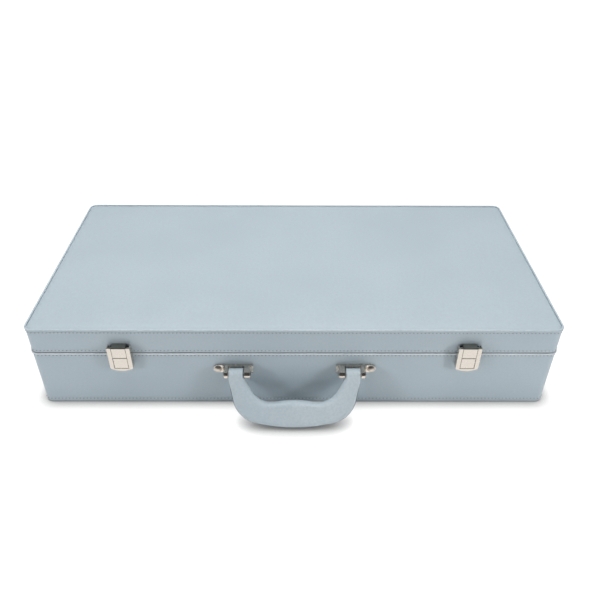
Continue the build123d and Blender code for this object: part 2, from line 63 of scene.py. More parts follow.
# Colours, as red, green and blue shares of an 8-bit screen value
leatherette_colour = (184, 197, 204)
leatherette_dark = (179, 192, 200)
# Painted shade: the colour of the dark bands along the covers' lower edges, also the dark tone of the
# handle binding
painted_shade_colour = (88, 98, 106)
piping_colour = (196, 207, 213)
# Painted highlight: the rim welt is made much paler for its top that catches the light from above
rim_piping_highlight_colour = (226, 232, 236)
rim_piping_highlight_dark = (217, 224, 229)
handle_colour = (196, 207, 213)
handle_dark = (184, 197, 204)
# Painted shade: the binding's dark colour stands for the shadowed line along the handle's edge
binding_shade_colour = (84, 97, 108)
thread_colour = (230, 236, 240)
# Needle holes whose dark colour also paints the shade of the stitch groove
needle_hole_shade_colour = (118, 130, 139)
nickel_colour = (222, 214, 204)
# Painted shade and painted dark reflection: the colour of the latch back plates in the latch's hollows
back_plate_shade_colour = (66, 62, 57)
shaded_nickel_colour = (158, 156, 148)
steel_colour = (190, 188, 184)
lining_colour = (84, 104, 126)
tray_colour = (226, 226, 220)
board_colour = (186, 154, 112)
floor_colour = (246, 247, 248)
floor_seen_colour = (126, 126, 126)

# Spans of numbers that the finishes use
full_span = (0.0, 1.0)
noise_span = (0.3, 0.7)
mottle_span = (0.16, 0.34)
satin_roughness = (0.42, 0.54)
pile_roughness = (0.82, 0.95)
plastic_roughness = (0.32, 0.42)
wood_roughness = (0.6, 0.75)
thread_roughness = (0.5, 0.65)
rubbed_roughness = 0.1

# Painted shade along the lower edges of the covers: a dark band at the foot of the base for the contact
# shadow, and one at the lid's lower edge for the shadow in the gap above the rim
painted_shade_fade = 0.35 * mm
base_painted_shade_height = 0.8 * mm
lid_painted_shade_height = 0.5 * mm

# Plan of the case
corner_radius = 8.0 * mm
least_corner_radius = 3.0 * mm

# Padded top
crease_depth = 1.1 * mm
crease_fall = 0.4 * mm
crease_width = 0.3 * mm
cover_tuck = 1.0 * mm
shoulder_width = 9.0 * mm
shoulder_falls = 3
shoulder_share = 0.58
crown_margin = 10.0 * mm
crown_steps = 30

# Linings
lining_thickness = 1.4 * mm
lining_tuck = 4.0 * mm
lining_edge = 0.8 * mm
lining_edge_radius = 0.3 * mm
lining_rim_radius = 1.2 * mm
lining_floor_radius = 3.0 * mm
lid_padding_drop = 1.0 * mm
lid_padding_puff = 2.2 * mm
lid_padding_fade = 7.0 * mm
lid_padding_margin = 14.0 * mm
lid_padding_steps = 14
lid_padding_spread = 1.8

# Stitch rows, measured along the wall from the edge beside them
stitch_pitch = 3.75 * mm
stitch_length = 2.5 * mm
stitch_width = 0.9 * mm
stitch_height = 0.5 * mm
stitch_slant = math.radians(9)
# Dark dots between the stitches, raised above them: needle holes with painted shade of the groove under its
# upper lip
hole_length = 1.1 * mm
hole_width = 0.8 * mm
hole_height = 0.16 * mm
hole_rise = 0.25 * mm
row_above_bottom = 5.0 * mm
row_below_rim = 3.2 * mm
row_above_lid_edge = 3.0 * mm
row_below_top = 4.0 * mm

# Handle, drawn about its pin line
handle_half_width = 66.0 * mm
handle_leg_width = 14.2 * mm
handle_thickness = 13.5 * mm
handle_edge_radius = 5.6 * mm
handle_eye_edge = 1.2 * mm
handle_eye_clearance = 0.15 * mm
handle_eye_blend = 14.0 * mm
handle_floor_gap = 0.2 * mm
handle_shoulder_drop = 7.8 * mm
handle_shoulder_radius = 30.0 * mm
handle_corner_inset = 8.3 * mm
handle_corner_drop = 46.2 * mm
handle_corner_radius = 30.0 * mm
handle_keel_drop = 57.8 * mm
handle_keel_radius = 170.0 * mm
handle_crotch_drop = 2.2 * mm
handle_crotch_radius = 12.0 * mm
handle_dip_inset = 15.8 * mm
handle_dip_drop = 31.2 * mm
handle_dip_radius = 24.0 * mm
handle_palm_drop = 25.7 * mm
handle_palm_radius = 80.0 * mm
binding_proud = 0.7 * mm
binding_sunk = 0.6 * mm
binding_thickness = 1.7 * mm
binding_round_off = 0.3 * mm
binding_start = 4.5 * mm

# Latch heads
latch_panel_half = 6.9 * mm
latch_plate_half = 10.3 * mm
latch_plate_thickness = 1.2 * mm
latch_sheet = 1.0 * mm
latch_head_height = 3.0 * mm
latch_head_radius = 0.8 * mm
latch_panel_bevel = 0.35 * mm

# Meshes
quarter_steps = 6
same_place = 0.002 * mm
same_plane = 0.01 * mm

# Studio, where the floor's glow grows from the case outwards and is darkened close under things as a
# painted contact shadow
floor_half = 8.0
glow_distance = (0.35, 0.8)
glow_strength = (0.92, 1.0)
contact_reach = 14.0 * mm
contact_openness = (0.35, 1.0)
contact_strength = (0.1, 1.0)
room_colour = (0.95, 0.97, 1.0, 1)
room_strength = 0.11
mirrored_room = 0.09
lamps = {
    "overhead": {"place": (-0.05, 0.14, 1.3), "target": (0, 0, 0.1), "size": 1.3, "power": 17.6},
    "left_key": {"place": (-0.86, -0.62, 0.34), "target": (-0.1, -0.13, 0.05), "size": 0.2, "power": 2.4},
    "right_key": {"place": (0.86, -0.62, 0.34), "target": (0.1, -0.13, 0.05), "size": 0.2, "power": 3.0},
}

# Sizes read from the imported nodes
cover_low, cover_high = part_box("base_side_cover")
top_low, top_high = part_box("lid_top_cover")
base_lining_low, base_lining_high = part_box("base_lining")
lid_lining_low, lid_lining_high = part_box("lid_lining")
base_floor_low, base_floor_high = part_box("base_floor")
lid_panel_low, lid_panel_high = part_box("lid_panel")
pin_low, pin_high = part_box("handle_pin_left")
pin_place = (pin_low + pin_high) / 2
base_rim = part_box("base_rim_welt")[1].z
lid_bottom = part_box("lid_side_cover")[0].z
welt_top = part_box("lid_edge_welt")[1].z
case_width = cover_high.x - cover_low.x
case_depth = cover_high.y - cover_low.y


def linear(colour):
    """A screen colour as the linear values that a shader takes."""
    shares = [channel / 255 for channel in colour]
    values = [s / 12.92 if s <= 0.04045 else ((s + 0.055) / 1.055) ** 2.4 for s in shares]
    return (*values, 1.0)


def darker(colour, share):
    """A screen colour with that share of its brightness."""
    return tuple(share * channel for channel in colour)


# Materials
class Finish:
    """A material under construction, with short ways to add and join its nodes."""

    def __init__(self, name):
        self.material = bpy.data.materials.new(name)
        self.material.use_nodes = True
        self.tree = self.material.node_tree
        self.shader = self.tree.nodes["Principled BSDF"]
        self.place = self.add("ShaderNodeTexCoord").outputs["Object"]

    def add(self, kind, **settings):
        node = self.tree.nodes.new(kind)
        for key, value in settings.items():
            setattr(node, key, value)
        return node

    def join(self, output, socket):
        self.tree.links.new(output, socket)

    def feed(self, socket, value):
        """Gives a socket another node's output, a screen colour or a number."""
        if isinstance(value, bpy.types.NodeSocket):
            self.join(value, socket)
        elif isinstance(value, tuple):
            socket.default_value = linear(value)
        else:
            socket.default_value = value

    def set(self, **values):
        for key, value in values.items():
            self.shader.inputs[key.replace("_", " ")].default_value = value

    def noise(self, scale, detail=3.0, roughness=0.55):
        node = self.add("ShaderNodeTexNoise")
        node.inputs["Scale"].default_value = scale
        node.inputs["Detail"].default_value = detail
        node.inputs["Roughness"].default_value = roughness
        self.join(self.place, node.inputs["Vector"])
        return node.outputs["Fac"]

    def pebbles(self, scale, smoothness):
        """Smooth rounded grain, from the distance to scattered points."""
        node = self.add("ShaderNodeTexVoronoi", feature="SMOOTH_F1")
        node.inputs["Scale"].default_value = scale
        node.inputs["Smoothness"].default_value = smoothness
        self.join(self.place, node.inputs["Vector"])
        return node.outputs["Distance"]

    def map(self, value, span, new_span):
        """A value moved from one span of numbers to another."""
        node = self.add("ShaderNodeMapRange")
        keys = ("From Min", "From Max", "To Min", "To Max")
        for key, number in zip(keys, (*span, *new_span)):
            node.inputs[key].default_value = number
        self.join(value, node.inputs["Value"])
        return node.outputs["Result"]

    def band(self, low, high, fade):
        """1 between two heights on the object, and 0 a fade beyond them."""
        axes = self.add("ShaderNodeSeparateXYZ")
        self.join(self.place, axes.inputs[0])
        above = self.map(axes.outputs["Z"], (low - fade, low), (0.0, 1.0))
        below = self.map(axes.outputs["Z"], (high, high + fade), (1.0, 0.0))
        return self.maths("MULTIPLY", above, below)

    def blend(self, share, first, second):
        """A colour between two, by a share from 0 to 1."""
        node = self.add("ShaderNodeMix", data_type="RGBA")
        self.join(share, node.inputs["Factor"])
        sockets = [socket for socket in node.inputs if socket.type == "RGBA"]
        for socket, colour in zip(sockets, (first, second)):
            self.feed(socket, colour)
        return [socket for socket in node.outputs if socket.type == "RGBA"][0]

    def maths(self, operation, first, second):
        node = self.add("ShaderNodeMath", operation=operation)
        for socket, value in zip(node.inputs, (first, second)):
            self.feed(socket, value)
        return node.outputs["Value"]

    def bump(self, height, depth, strength, under=None):
        node = self.add("ShaderNodeBump")
        node.inputs["Strength"].default_value = strength
        node.inputs["Distance"].default_value = depth
        self.join(height, node.inputs["Height"])
        if under is not None:
            self.join(under, node.inputs["Normal"])
        return node.outputs["Normal"]

    def dress(self, colour, roughness=None, normal=None):
        """Joins what was made to the shader, and gives back the material."""
        for key, value in (("Base Color", colour), ("Roughness", roughness), ("Normal", normal)):
            if value is not None:
                self.join(value, self.shader.inputs[key])
        return self.material


def leatherette(name, colour, shade, painted_shade_bands=()):
    """Smooth vinyl with a fine pebble grain, faint clouding, a satin surface and bands of painted
    shade, each between two heights."""
    finish = Finish(name)
    cloud = finish.noise(scale=9.0, detail=2.0)
    mottle = finish.noise(scale=420.0, detail=4.0)
    share = finish.maths("MULTIPLY", cloud, mottle)
    skin = finish.blend(finish.map(share, mottle_span, full_span), shade, colour)
    # Painted shade: darkens the cover between two heights at its lower edges
    for low, high in painted_shade_bands:
        skin = finish.blend(finish.band(low, high, painted_shade_fade), skin, painted_shade_colour)
    rough = finish.map(mottle, noise_span, satin_roughness)
    pebbles = finish.pebbles(scale=1500.0, smoothness=0.7)
    grain = finish.bump(pebbles, depth=0.06 * mm, strength=0.35)
    swell = finish.noise(scale=30.0, detail=1.0)
    waves = finish.bump(swell, depth=0.5 * mm, strength=0.12, under=grain)
    finish.set(Specular_IOR_Level=0.4)
    return finish.dress(skin, rough, waves)


def nickel(name, colour, roughness):
    """Plated metal with fine rubbing marks."""
    finish = Finish(name)
    wear = finish.noise(scale=260.0, detail=5.0)
    tint = finish.blend(wear, darker(colour, 0.94), colour)
    rough = finish.map(wear, noise_span, (roughness, roughness + rubbed_roughness))
    fine = finish.noise(scale=900.0, detail=2.0)
    ripple = finish.bump(fine, depth=0.02 * mm, strength=0.25)
    finish.set(Metallic=1.0)
    return finish.dress(tint, rough, ripple)


def velvet(name, colour):
    """Short pile with a soft sheen and brushed patches."""
    finish = Finish(name)
    patches = finish.noise(scale=26.0, detail=3.0)
    pile = finish.noise(scale=2600.0, detail=2.0)
    cloth = finish.blend(finish.map(patches, noise_span, full_span), darker(colour, 0.8), colour)
    rough = finish.map(pile, noise_span, pile_roughness)
    nap = finish.bump(pile, depth=0.15 * mm, strength=0.5)
    finish.set(Sheen_Weight=0.45, Sheen_Roughness=0.5, Specular_IOR_Level=0.15)
    return finish.dress(cloth, rough, nap)


def plastic(name, colour):
    """Moulded plastic, or foam, with a faint speckle."""
    finish = Finish(name)
    speckle = finish.noise(scale=700.0)
    skin = finish.blend(speckle, darker(colour, 0.97), colour)
    rough = finish.map(speckle, noise_span, plastic_roughness)
    return finish.dress(skin, rough, finish.bump(speckle, depth=0.03 * mm, strength=0.2))


def board(name, colour):
    """Bare plywood, with long grain."""
    finish = Finish(name)
    wave = finish.add("ShaderNodeTexWave", wave_type="BANDS", bands_direction="Y")
    wave.inputs["Scale"].default_value = 90.0
    wave.inputs["Distortion"].default_value = 7.0
    finish.join(finish.place, wave.inputs["Vector"])
    rings = wave.outputs["Fac"]
    wood = finish.blend(rings, darker(colour, 0.82), colour)
    return finish.dress(wood, finish.map(rings, full_span, wood_roughness))


def thread(name, colour):
    """Twisted thread, with strands across each stitch."""
    finish = Finish(name)
    twist = finish.noise(scale=2400.0, detail=2.0)
    yarn = finish.blend(twist, darker(colour, 0.86), colour)
    rough = finish.map(twist, noise_span, thread_roughness)
    return finish.dress(yarn, rough, finish.bump(twist, depth=0.08 * mm, strength=0.5))


# Painted shade at the foot of the base (contact shadow) and at the lid's lower edge (shadow of the gap
# above the rim)
painted_shade_edges = [(-1.0 * mm, base_painted_shade_height), (lid_bottom, lid_bottom + lid_painted_shade_height)]
cover_finish = leatherette("cover_leatherette", leatherette_colour, leatherette_dark, painted_shade_edges)
handle_finish = leatherette("handle_leatherette", handle_colour, handle_dark)
# Painted shade: the binding is coloured dark for the shadowed seam line
binding_shade_finish = leatherette("edge_binding_painted_shade", binding_shade_colour, painted_shade_colour)
piping_finish = leatherette("piping_leatherette", piping_colour, leatherette_colour)
# Painted highlight along the top of the rim welt
rim_piping_highlight_finish = leatherette("rim_welt_painted_highlight", rim_piping_highlight_colour, rim_piping_highlight_dark)
nickel_finish = nickel("satin_nickel", nickel_colour, roughness=0.2)
dome_finish = nickel("polished_nickel", nickel_colour, roughness=0.4)
# Painted shade: nickel darkened for the shaded hollows of the latches
back_plate_shade_finish = nickel("latch_socket_painted_shade", back_plate_shade_colour, roughness=0.4)
shaded_nickel_finish = nickel("shaded_nickel", shaded_nickel_colour, roughness=0.3)
steel_finish = nickel("plated_steel", steel_colour, roughness=0.3)
lining_finish = velvet("velvet_lining", lining_colour)
tray_finish = plastic("tray_plastic", tray_colour)
board_finish = board("bare_board", board_colour)
foam_finish = plastic("pad_foam", board_colour)
thread_finish = thread("cover_thread", thread_colour)
# Painted shade: dark needle holes that also stand for the shaded groove above each stitch
hole_shade_finish = thread("needle_holes", needle_hole_shade_colour)

slot_finishes = {
    "leatherette": cover_finish,
    "leatherette_top": cover_finish,
    "handle_leatherette": handle_finish,
    "piping": piping_finish,
    "board": board_finish,
    "foam": foam_finish,
    "lining": lining_finish,
    "tray_plastic": tray_finish,
    "nickel": nickel_finish,
    "nickel_domes": dome_finish,
    "steel": steel_finish,
}
node_finishes = {"base_rim_welt": rim_piping_highlight_finish}
node_slots = {part["node"]: part["material_slot"] for part in frame["record"]["subparts"]}
for name, node in nodes.items():
    finish = node_finishes.get(name, slot_finishes[node_slots[name]])
    if not node.material_slots:
        node.data.materials.append(finish)
    for material_slot in node.material_slots:
        material_slot.link = "OBJECT"
        material_slot.material = finish


# Meshes and pieces
def quarter_turn(steps=quarter_steps):
    """Angles from 0 to a right angle, in equal steps."""
    return [math.pi / 2 * step / steps for step in range(steps + 1)]


def tube_between(shell, rings):
    """Joins rings of points into a closed skin."""
    loops = [[shell.verts.new(place) for place in ring] for ring in rings]
    for lower, upper in zip(loops, loops[1:]):
        for index in range(len(lower)):
            after = (index + 1) % len(lower)
            shell.faces.new((lower[index], lower[after], upper[after], upper[index]))
    shell.faces.new(loops[-1])
    shell.faces.new(reversed(loops[0]))


def finished_mesh(shell, name, smooth=True):
    """A mesh from the shell, with doubled points merged and all faces outward."""
    bmesh.ops.remove_doubles(shell, verts=shell.verts, dist=same_place)
    bmesh.ops.recalc_face_normals(shell, faces=shell.faces)
    mesh = bpy.data.meshes.new(name)
    shell.to_mesh(mesh)
    shell.free()
    if smooth:
        mesh.shade_smooth()
    return mesh


def in_scene(name, data):
    thing = bpy.data.objects.new(name, data)
    bpy.context.scene.collection.objects.link(thing)
    return thing


def new_piece(name, mesh, finish, body):
    """A visible piece of one finish that moves with its body."""
    mesh.materials.clear()
    mesh.materials.append(finish)
    piece = in_scene(name, mesh)
    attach(piece, body)
    return piece


def case_outline(inset, side_steps=24, corner_steps=8):
    """Points round the case's plan, drawn in by the inset, from the right end of the front."""
    radius = max(corner_radius - inset, least_corner_radius)
    half_x = case_width / 2 - inset
    half_y = case_depth / 2 - inset
    centres = [
        (half_x - radius, -half_y + radius, -90),
        (half_x - radius, half_y - radius, 0),
        (-half_x + radius, half_y - radius, 90),
        (-half_x + radius, -half_y + radius, 180),
    ]
    arcs = []
    for x, y, start in centres:
        angles = [math.radians(start + 90 * step / corner_steps) for step in range(corner_steps + 1)]
        arcs.append([Vector((x + radius * math.cos(a), y + radius * math.sin(a))) for a in angles])
    points = []
    for arc, following in zip(arcs, arcs[1:] + arcs[:1]):
        points += arc
        run = following[0] - arc[-1]
        points += [arc[-1] + run * step / side_steps for step in range(1, side_steps)]
    return points


def swept_piece(name, profile, finish, body):
    """A closed skin that follows the case's plan: each profile point is an inset and a height.
    Both ends of the profile are closed across the middle."""
    shell = bmesh.new()
    tube_between(shell, [[(p.x, p.y, height) for p in case_outline(inset)] for inset, height in profile])
    return new_piece(name, finished_mesh(shell, name), finish, body)


# Padded top of the lid
def padded_top():
    """The cover drawn over the pad: a tight crease behind the welt, a soft shoulder and a low crown."""
    skin = top_low.z
    edge = (case_width - (top_high.x - top_low.x)) / 2
    crease = welt_top - crease_depth
    crown = top_high.z - crease
    profile = [(edge + cover_tuck, skin), (edge, skin), (edge, crease - crease_fall)]
    reach = case_depth / 2 - crown_margin - edge
    for step in range(crown_steps + 1):
        along = reach * (step / crown_steps) ** 2
        shoulder = shoulder_share * (1 - math.exp(-along / shoulder_width * shoulder_falls))
        dome = (1 - shoulder_share) * math.sin(math.pi / 2 * along / reach)
        profile.append((edge + crease_width + along, crease + crown * (shoulder + dome)))
    piece = swept_piece("padded_lid_top", profile, cover_finish, "lid")
    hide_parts("lid_top_cover", "lid_top_pad")


# Linings
def lining_rim(wall, outer, rim, bed, inward):
    """The hidden back of a lining and its turn over the rim: inward is 1 where the wall rises from
    the rim and -1 where it falls."""
    inner = wall + lining_thickness
    turn_start = inner - lining_rim_radius
    back = rim + inward * lining_edge
    profile = [(wall + lining_tuck, bed), (wall, bed), (wall, back), (outer, back)]
    profile += [(outer, rim + inward * lining_edge_radius), (outer + lining_edge_radius, rim)]
    profile += [(turn_start, rim)]
    for angle in quarter_turn(5)[1:]:
        inset = turn_start + (inner - turn_start) * math.sin(angle)
        profile.append((inset, rim + inward * lining_rim_radius * (1 - math.cos(angle))))
    return profile


def base_lining():
    """Velvet over the walls and floor of the base, turned out over the rim."""
    outer = (case_width - (base_lining_high.x - base_lining_low.x)) / 2
    wall = (case_width - (base_floor_high.x - base_floor_low.x)) / 2
    rim = base_lining_high.z
    floor = base_floor_high.z
    profile = lining_rim(wall, outer, rim, floor, -1)
    for angle in quarter_turn():
        inset = wall + lining_thickness + lining_floor_radius * (1 - math.cos(angle))
        height = floor + lining_thickness + lining_floor_radius * (1 - math.sin(angle))
        profile.append((inset, height))
    piece = swept_piece("velvet_base_lining", profile, lining_finish, "base")
    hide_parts("base_lining")


def lid_lining():
    """Velvet over thin padding inside the lid."""
    outer = (case_width - (lid_lining_high.x - lid_lining_low.x)) / 2
    wall = (case_width - (lid_panel_high.x - lid_panel_low.x)) / 2
    ceiling = lid_panel_low.z
    profile = lining_rim(wall, outer, lid_lining_low.z, ceiling, 1)
    inner = wall + lining_thickness
    padding = ceiling - lid_padding_drop
    profile += [(inner, padding)]
    reach = case_depth / 2 - lid_padding_margin - wall
    for step in range(1, lid_padding_steps + 1):
        along = reach * (step / lid_padding_steps) ** lid_padding_spread
        swell = 1 - math.exp(-along / lid_padding_fade)
        profile.append((inner + along, padding - lid_padding_puff * swell))
    piece = swept_piece("padded_lid_lining", profile, lining_finish, "lid")
    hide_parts("lid_lining")


padded_top()
base_lining()
lid_lining()


# Stitch rows, by geometry nodes
def stitch_tree():
    """Stitches along a curve: each is a slanted capsule of thread that lies on the cover."""
    tree = bpy.data.node_groups.new("stitch_row", "GeometryNodeTree")
    face = tree.interface
    face.new_socket("Row", in_out="INPUT", socket_type="NodeSocketGeometry")
    for label in ("Pitch", "Length", "Width", "Height", "Slant", "Rise", "Shift"):
        face.new_socket(label, in_out="INPUT", socket_type="NodeSocketFloat")
    face.new_socket("Thread", in_out="INPUT", socket_type="NodeSocketMaterial")
    face.new_socket("Stitches", in_out="OUTPUT", socket_type="NodeSocketGeometry")
    given = tree.nodes.new("NodeGroupInput").outputs

    def add(kind, **joined):
        node = tree.nodes.new(kind)
        for key, output in joined.items():
            tree.links.new(output, node.inputs[key])
        return node

    spaced = add("GeometryNodeCurveToPoints", Curve=given["Row"])
    spaced.mode = "LENGTH"
    tree.links.new(given["Pitch"], spaced.inputs["Length"])
    capsule = add("GeometryNodeMeshUVSphere")
    capsule.inputs["Segments"].default_value = 8
    capsule.inputs["Rings"].default_value = 6
    capsule.inputs["Radius"].default_value = 0.5
    size = add("ShaderNodeCombineXYZ", X=given["Width"], Y=given["Height"], Z=given["Length"])
    slant = add("ShaderNodeCombineXYZ", Y=given["Slant"])
    offset = add("ShaderNodeCombineXYZ", X=given["Rise"], Z=given["Shift"])
    shaped = add("GeometryNodeTransform", Geometry=capsule.outputs["Mesh"], Scale=size.outputs["Vector"])
    tilted = add("GeometryNodeTransform", Geometry=shaped.outputs["Geometry"])
    tree.links.new(slant.outputs["Vector"], tilted.inputs["Rotation"])
    tree.links.new(offset.outputs["Vector"], tilted.inputs["Translation"])
    placed = add("GeometryNodeInstanceOnPoints", Points=spaced.outputs["Points"])
    tree.links.new(tilted.outputs["Geometry"], placed.inputs["Instance"])
    tree.links.new(spaced.outputs["Rotation"], placed.inputs["Rotation"])
    real = add("GeometryNodeRealizeInstances", Geometry=placed.outputs["Instances"])
    smooth = add("GeometryNodeSetShadeSmooth", Geometry=real.outputs["Geometry"])
    coloured = add("GeometryNodeSetMaterial", Geometry=smooth.outputs["Geometry"], Material=given["Thread"])
    add("NodeGroupOutput", Stitches=coloured.outputs["Geometry"])
    return tree


def row_curve(name, loops):
    """Closed runs of points as one curve object."""
    curve = bpy.data.curves.new(name, "CURVE")
    curve.dimensions = "3D"
    curve.twist_mode = "Z_UP"
    for loop in loops:
        spline = curve.splines.new("POLY")
        spline.points.add(len(loop) - 1)
        for point, place in zip(spline.points, loop):
            point.co = (*place, 1.0)
        spline.use_cyclic_u = True
    return in_scene(name, curve)


def made_by(tree, sizes, row, finish, name, body):
    """Runs a geometry tree on a row and keeps the result as a plain piece."""
    modifier = row.modifiers.new("rows", "NODES")
    modifier.node_group = tree
    keys = {item.name: item.identifier for item in tree.interface.items_tree if item.in_out == "INPUT"}
    for label, value in sizes.items():
        modifier[keys[label]] = value
    modifier[keys["Thread"]] = finish
    bpy.context.view_layer.update()
    ready = row.evaluated_get(bpy.context.evaluated_depsgraph_get())
    mesh = bpy.data.meshes.new_from_object(ready)
    bpy.data.objects.remove(row)
    mesh.name = name
    new_piece(name, mesh, finish, body)


def wall_row(height):
    """A row round the walls of the case at one height."""
    return [(p.x, p.y, height) for p in case_outline(0.0, side_steps=2, corner_steps=6)]


stitching = stitch_tree()
rows = {
    "base": [wall_row(row_above_bottom), wall_row(base_rim - row_below_rim)],
    "lid": [wall_row(lid_bottom + row_above_lid_edge), wall_row(welt_top - row_below_top)],
}
stitch_sizes = {
    "Pitch": stitch_pitch,
    "Length": stitch_length,
    "Width": stitch_width,
    "Height": stitch_height,
    "Slant": stitch_slant,
    "Rise": 0.0,
    "Shift": 0.0,
}
# Needle holes raised above the stitches, as dark dots of painted shade
hole_sizes = {
    "Pitch": stitch_pitch,
    "Length": hole_length,
    "Width": hole_width,
    "Height": hole_height,
    "Slant": 0.0,
    "Rise": hole_rise,
    "Shift": stitch_pitch / 2,
}
row_kinds = [("stitching", stitch_sizes, thread_finish), ("needle_holes", hole_sizes, hole_shade_finish)]
for body, body_rows in rows.items():
    for kind, sizes, finish in row_kinds:
        name = f"{body}_{kind}"
        made_by(stitching, sizes, row_curve(name, body_rows), finish, name, body)


# Handle
def rounded_run(corners, radii, arc_steps=12, run_steps=8):
    """Points along straight runs whose corners are rounded, as many for each run and each corner."""
    points = [Vector(corners[0])]

    def straight_to(end):
        start = points[-1]
        points.extend(start.lerp(end, step / run_steps) for step in range(1, run_steps + 1))

    for before, corner, after, radius in zip(corners, corners[1:], corners[2:], radii):
        corner = Vector(corner)
        way_in = (corner - Vector(before)).normalized()
        way_out = (Vector(after) - corner).normalized()
        turn = way_in.angle(way_out)
        start = corner - way_in * radius * math.tan(turn / 2)
        inward = (way_out - way_in * way_in.dot(way_out)).normalized()
        straight_to(start)
        for step in range(1, arc_steps + 1):
            angle = turn * step / arc_steps
            sideways = radius * (1 - math.cos(angle))
            points.append(start + way_in * radius * math.sin(angle) + inward * sideways)
    straight_to(Vector(corners[-1]))
    return points


def handle_edges():
    """The outer and the inner edge of the handle's plan, from the left eye to the right one."""
    outer = handle_half_width - handle_eye_clearance
    inner = handle_half_width - handle_leg_width + handle_eye_clearance
    corner = outer - handle_corner_inset
    dip = inner - handle_dip_inset
    eye = handle_thickness / 2
    outer_corners = [(outer, eye), (outer, -handle_shoulder_drop), (corner, -handle_corner_drop)]
    inner_corners = [(inner, eye), (inner, -handle_crotch_drop), (dip, -handle_dip_drop)]
    outer_radii = (handle_shoulder_radius, handle_corner_radius, handle_keel_radius)
    inner_radii = (handle_crotch_radius, handle_dip_radius, handle_palm_radius)
    edges = []
    for corners, middle, radii in (
        (outer_corners, -handle_keel_drop, outer_radii),
        (inner_corners, -handle_palm_drop, inner_radii),
    ):
        left = [(-x, height) for x, height in corners]
        path = left + [(0, middle)] + corners[::-1]
        edges.append(rounded_run(path, radii + radii[-2::-1]))
    return edges


def handle_rest_angle():
    """How far the handle hangs out from the wall, when its lower edge rests on the floor."""
    slope = math.atan2(handle_keel_drop - handle_corner_drop, handle_half_width - handle_corner_inset)
    reach = handle_keel_drop - handle_keel_radius * (1 / math.cos(slope) - 1) - handle_edge_radius
    half = handle_thickness / 2 - handle_edge_radius
    drop = pin_place.z - handle_edge_radius - handle_floor_gap
    return math.atan2(half, reach) + math.acos(drop / math.hypot(reach, half))


def hung(across, height, through):
    """A point of the handle, drawn about its pin line, in its place at rest."""
    lean = (math.cos(rest_angle), math.sin(rest_angle))
    y = pin_place.y + through * lean[0] + height * lean[1]
    z = pin_place.z - through * lean[1] + height * lean[0]
    return Vector((across, y, z))


def section(width, radius, half, face_steps=5):
    """A rounded section: each point is a distance from the outer edge and one from the middle plane."""
    corner = []
    for angle in quarter_turn():
        corner.append((radius - radius * math.cos(angle), half - radius + radius * math.sin(angle)))
    face = [radius + (width - 2 * radius) * step / face_steps for step in range(1, face_steps)]
    front_half = corner + [(u, half) for u in face] + [(width - u, t) for u, t in reversed(corner)]
    return front_half + [(u, -t) for u, t in reversed(front_half)]


def handle_grip():
    """The moulded grip: full round eyes, legs that sweep into a deep grip, and a rise for the palm."""
    half = handle_thickness / 2
    rings = []
    for outer, inner in zip(*handle_edges()):
        height = (outer.y + inner.y) / 2
        depth = min(max(-height / handle_eye_blend, 0.0), 1.0)
        radius = handle_eye_edge + (handle_edge_radius - handle_eye_edge) * depth**2 * (3 - 2 * depth)
        width = (inner - outer).length
        ring = []
        for along, through in section(width, radius, half):
            spot = outer.lerp(inner, along / width)
            limit = math.sqrt(max(half**2 - max(spot.y, 0.0) ** 2, 0.0))
            ring.append(hung(spot.x, spot.y, min(max(through, -limit), limit)))
        rings.append(ring)
    shell = bmesh.new()
    tube_between(shell, rings)
    mesh = finished_mesh(shell, "handle_moulding")
    piece = new_piece("handle_moulding", mesh, handle_finish, "handle")
    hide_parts("handle_grip")


def handle_binding():
    """The raised binding in the seam between the two halves of the handle, along its outer edge, coloured
    dark as painted shade of the seam line.
    """
    half = binding_thickness / 2
    shoulder = binding_proud - binding_round_off
    outline = [(-binding_sunk, -half), (shoulder, -half), (binding_proud, -half + binding_round_off)]
    outline += [(out, -through) for out, through in reversed(outline)]
    rings = []
    for spot, opposite in zip(*handle_edges()):
        if spot.y < -binding_start:
            away = (spot - opposite).normalized()
            places = [(spot + away * out, through) for out, through in outline]
            rings.append([hung(place.x, place.y, through) for place, through in places])
    shell = bmesh.new()
    tube_between(shell, rings)
    mesh = finished_mesh(shell, "handle_binding")
    new_piece("handle_binding", mesh, binding_shade_finish, "handle")


rest_angle = handle_rest_angle()
handle_grip()
handle_binding()


# Latches
def prism(shell, outline, left, right):
    """A closed block with one outline, given as places along Y and Z, between two places along X."""
    tube_between(shell, [[(x, y, z) for y, z in outline] for x in (left, right)])


def upright_front_edges(shell, face):
    """The short sides of a panel that stands at the front face."""
    edges = []
    for edge in shell.edges:
        one, other = (vert.co for vert in edge.verts)
        at_front = abs(one.y - face) < same_plane and abs(other.y - face) < same_plane
        if at_front and edge.calc_length() < latch_panel_half and abs(one.z - other.z) > latch_sheet:
            edges.append(edge)
    return edges


